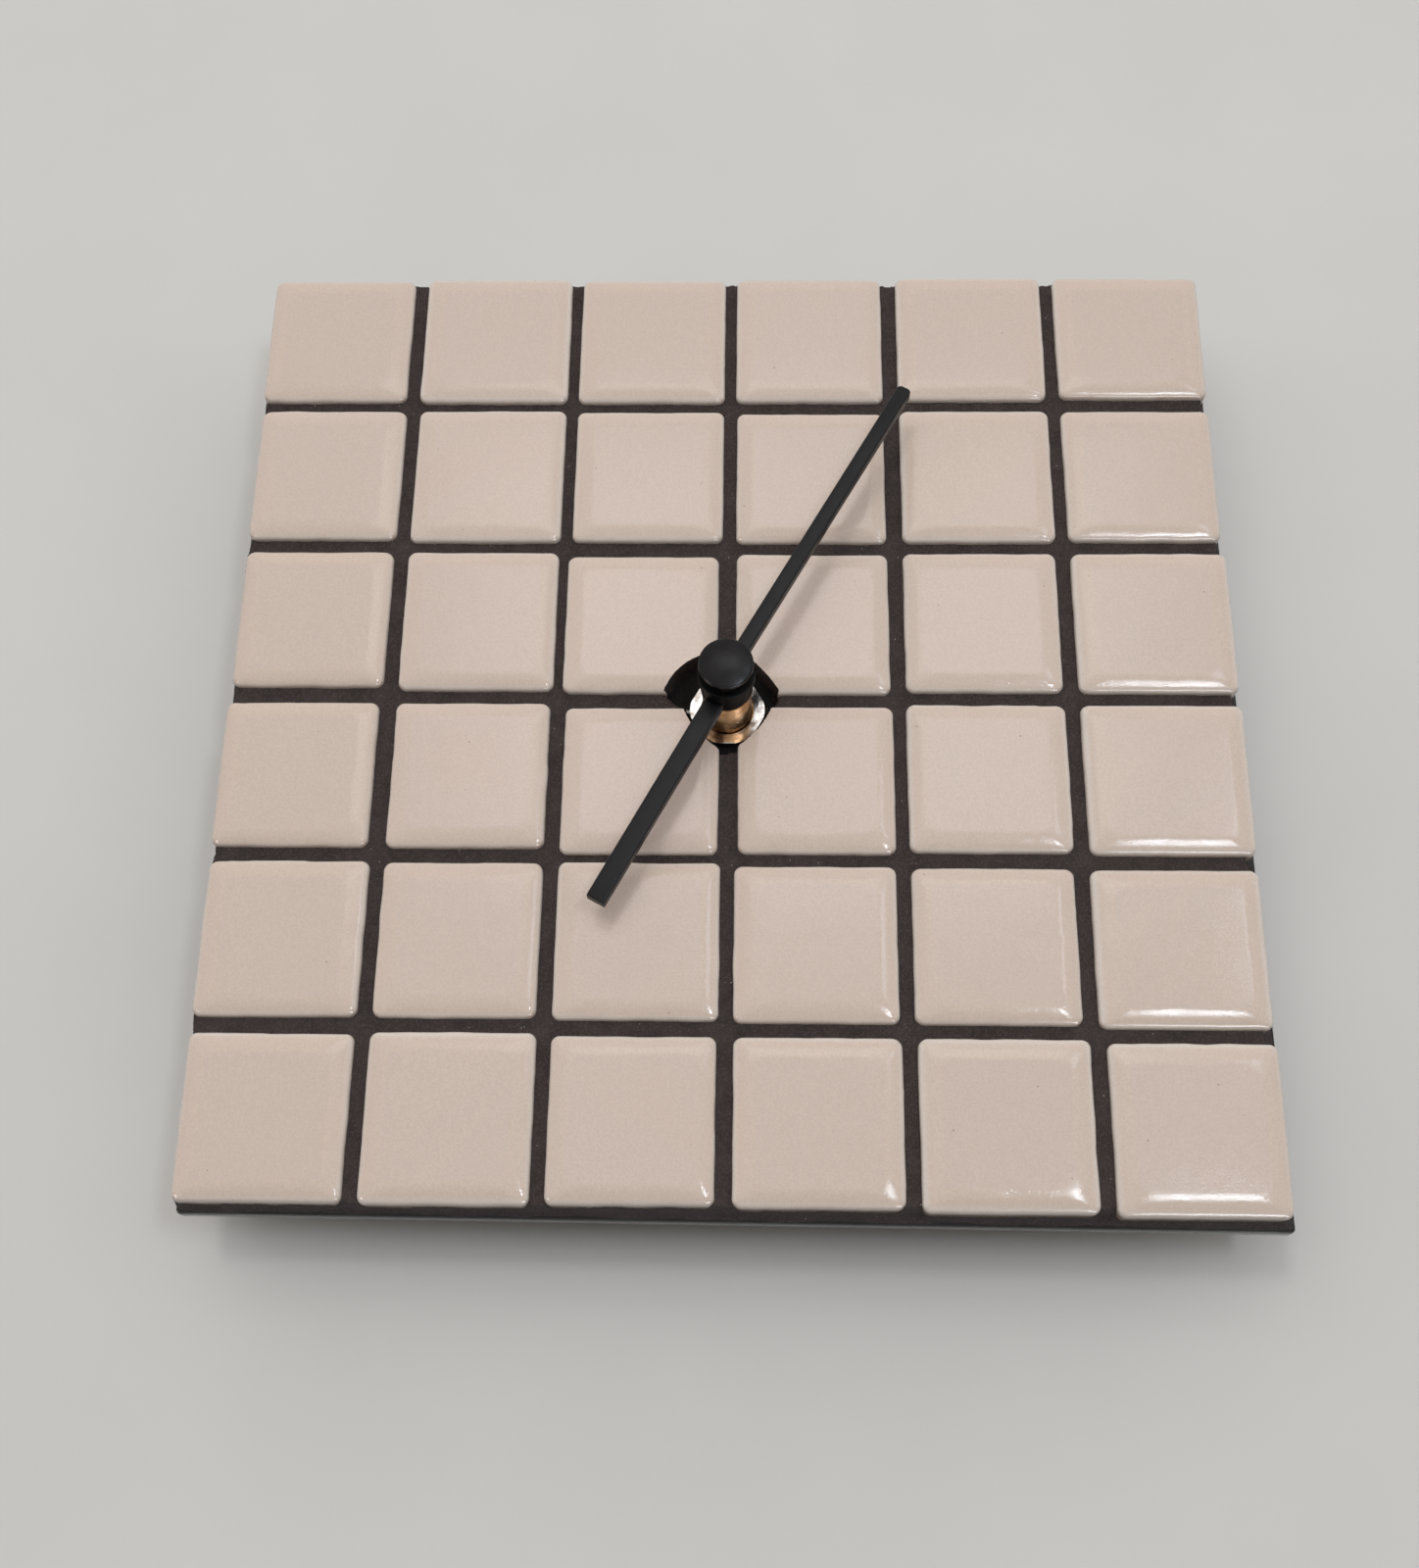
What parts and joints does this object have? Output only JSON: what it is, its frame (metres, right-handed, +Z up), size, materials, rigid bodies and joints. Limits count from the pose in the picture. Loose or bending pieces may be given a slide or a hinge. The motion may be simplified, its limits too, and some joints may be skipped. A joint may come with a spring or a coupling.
{
  "type": "wall clock",
  "caption": "Square wall clock faced with cream glazed mosaic tiles in dark grout, with plain black bar hands on a brass threaded bush and a battery movement behind.",
  "frame": {"origin": "in the wall plane, at the back of the movement, on the axis of the hands", "axes": "-Y is the front, along the shaft towards the viewer; +Z is up to twelve o'clock; +X is to the right as the face is seen"},
  "size_m": [0.167, 0.0408, 0.167],
  "materials": {
    "tile": "cream glaze, glossy, slightly uneven, paler at the rounded margins",
    "grout": "dark brown-black cement grout, matt and grainy",
    "board": "clear greenish sheet glass with polished edges; the adhesive and grout on it keep it dark",
    "bushing_brass": "bright brass with a fine thread",
    "nut_chrome": "bright plated",
    "gasket": "matt",
    "case": "moulded, fine matt",
    "cover": "moulded, fine matt",
    "arbor_steel": "turned",
    "wheel": "moulded, off-white",
    "setting": "moulded, white",
    "magnet": "dull grey",
    "stator": "stamped",
    "coil": "enamelled copper wire",
    "circuit": "green lacquer",
    "battery": null,
    "contact": "nickel plated",
    "hand_black": "black lacquer, satin, on aluminium",
    "cap_black": "smooth black"
  },
  "bodies": {
    "clock": {"backing_board": "board", "grout_grid": "grout", "tile_r1_c1": "tile", "tile_r1_c2": "tile", "tile_r1_c3": "tile", "tile_r1_c4": "tile", "tile_r1_c5": "tile", "tile_r1_c6": "tile", "tile_r2_c1": "tile", "tile_r2_c2": "tile", "tile_r2_c3": "tile", "tile_r2_c4": "tile", "tile_r2_c5": "tile", "tile_r2_c6": "tile", "tile_r3_c1": "tile", "tile_r3_c2": "tile", "tile_r3_c3": "tile", "tile_r3_c4": "tile", "tile_r3_c5": "tile", "tile_r3_c6": "tile", "tile_r4_c1": "tile", "tile_r4_c2": "tile", "tile_r4_c3": "tile", "tile_r4_c4": "tile", "tile_r4_c5": "tile", "tile_r4_c6": "tile", "tile_r5_c1": "tile", "tile_r5_c2": "tile", "tile_r5_c3": "tile", "tile_r5_c4": "tile", "tile_r5_c5": "tile", "tile_r5_c6": "tile", "tile_r6_c1": "tile", "tile_r6_c2": "tile", "tile_r6_c3": "tile", "tile_r6_c4": "tile", "tile_r6_c5": "tile", "tile_r6_c6": "tile", "threaded_bushing": "bushing_brass", "hex_nut": "nut_chrome", "rubber_gasket": "gasket", "movement_front_case": "case", "movement_rear_cover": "cover", "stator": "stator", "coil": "coil", "circuit_board": "circuit", "battery": "battery", "contact_positive": "contact", "contact_negative": "contact"},
    "minute": {"minute_arbor": "arbor_steel", "minute_hand": "hand_black", "hand_cap": "cap_black"},
    "hour": {"hour_wheel": "wheel", "hour_hand": "hand_black"},
    "setting": {"setting_wheel": "setting"},
    "centre": {"centre_wheel": "wheel"},
    "third": {"third_wheel": "wheel"},
    "second": {"second_wheel": "wheel"},
    "fifth": {"fifth_wheel": "wheel"},
    "rotor": {"rotor": "magnet"}
  },
  "joints": [
    {"name": "minute_turn", "type": "hinge", "parent": "clock", "child": "minute", "pos_m": [0, 0, 0], "axis": [0, 1, 0], "continuous": true},
    {"name": "hour_turn", "type": "hinge", "parent": "clock", "child": "hour", "pos_m": [0, 0, 0], "axis": [0, 1, 0], "continuous": true},
    {"name": "setting_turn", "type": "hinge", "parent": "clock", "child": "setting", "pos_m": [0.00974, 0, 0.00261], "axis": [0, 1, 0], "continuous": true},
    {"name": "rotor_turn", "type": "hinge", "parent": "clock", "child": "rotor", "pos_m": [-0.01831, 0, 0.00657], "axis": [0, 1, 0], "continuous": true},
    {"name": "fifth_turn", "type": "hinge", "parent": "clock", "child": "fifth", "pos_m": [-0.01769, 0, 0.01158], "axis": [0, 1, 0], "continuous": true},
    {"name": "second_turn", "type": "hinge", "parent": "clock", "child": "second", "pos_m": [-0.01142, 0, 0.01213], "axis": [0, 1, 0], "continuous": true},
    {"name": "third_turn", "type": "hinge", "parent": "clock", "child": "third", "pos_m": [-0.00479, 0, 0.0083], "axis": [0, 1, 0], "continuous": true},
    {"name": "centre_turn", "type": "hinge", "parent": "clock", "child": "centre", "pos_m": [0, 0, 0], "axis": [0, 1, 0], "continuous": true}
  ],
  "couplings": [
    {"joint": "hour_turn", "follows": "minute_turn", "ratio": 0.083333},
    {"joint": "setting_turn", "follows": "minute_turn", "ratio": -0.33333},
    {"joint": "fifth_turn", "follows": "rotor_turn", "ratio": -0.2},
    {"joint": "second_turn", "follows": "rotor_turn", "ratio": 0.033333},
    {"joint": "third_turn", "follows": "rotor_turn", "ratio": -0.0044444},
    {"joint": "centre_turn", "follows": "rotor_turn", "ratio": 0.00055556}
  ]
}
